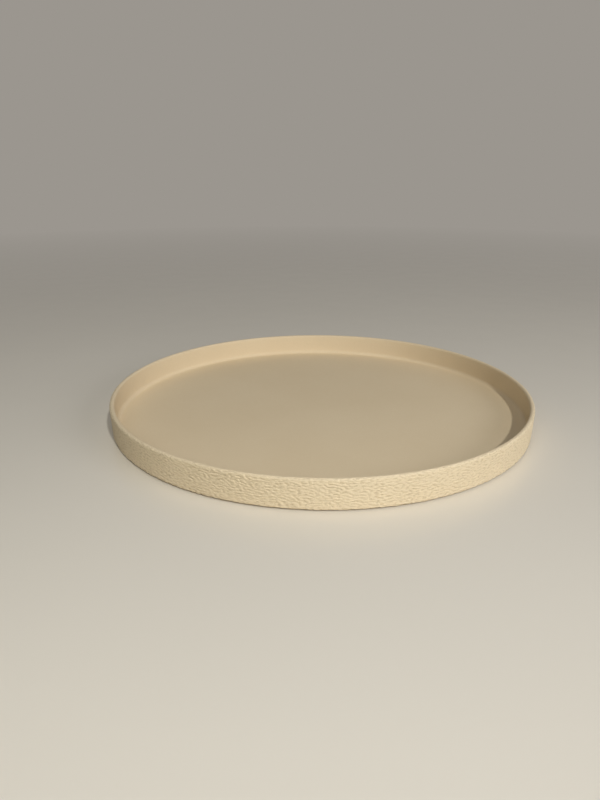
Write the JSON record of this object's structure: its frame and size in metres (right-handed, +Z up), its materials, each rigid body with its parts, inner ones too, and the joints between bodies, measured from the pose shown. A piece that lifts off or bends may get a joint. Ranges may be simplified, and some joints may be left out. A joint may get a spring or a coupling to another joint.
{
  "type": "decorative tray",
  "caption": "Round shallow decorative tray with an upright wall, a rounded rim, a rough-cast outer face and a smooth flat floor, standing on small anti-slip pads.",
  "frame": {"origin": "centre of the tray on the surface that it stands on", "axes": "+Z up along the tray's axis; -Y faces the camera of the picture; +X to its right"},
  "size_m": [0.2998, 0.2998, 0.02],
  "materials": {
    "tray_shell": "matte cream moulding, smooth inside, fine rough-cast relief outside",
    "foot_pad": "matte anti-slip foam rubber",
    "adhesive": "translucent acrylic adhesive film"
  },
  "bodies": {
    "root": {"tray_body": "tray_shell", "foot_pad_back_right": "foot_pad", "foot_pad_back_left": "foot_pad", "foot_pad_front_left": "foot_pad", "foot_pad_front_right": "foot_pad", "pad_adhesive_back_right": "adhesive", "pad_adhesive_back_left": "adhesive", "pad_adhesive_front_left": "adhesive", "pad_adhesive_front_right": "adhesive"}
  },
  "joints": []
}
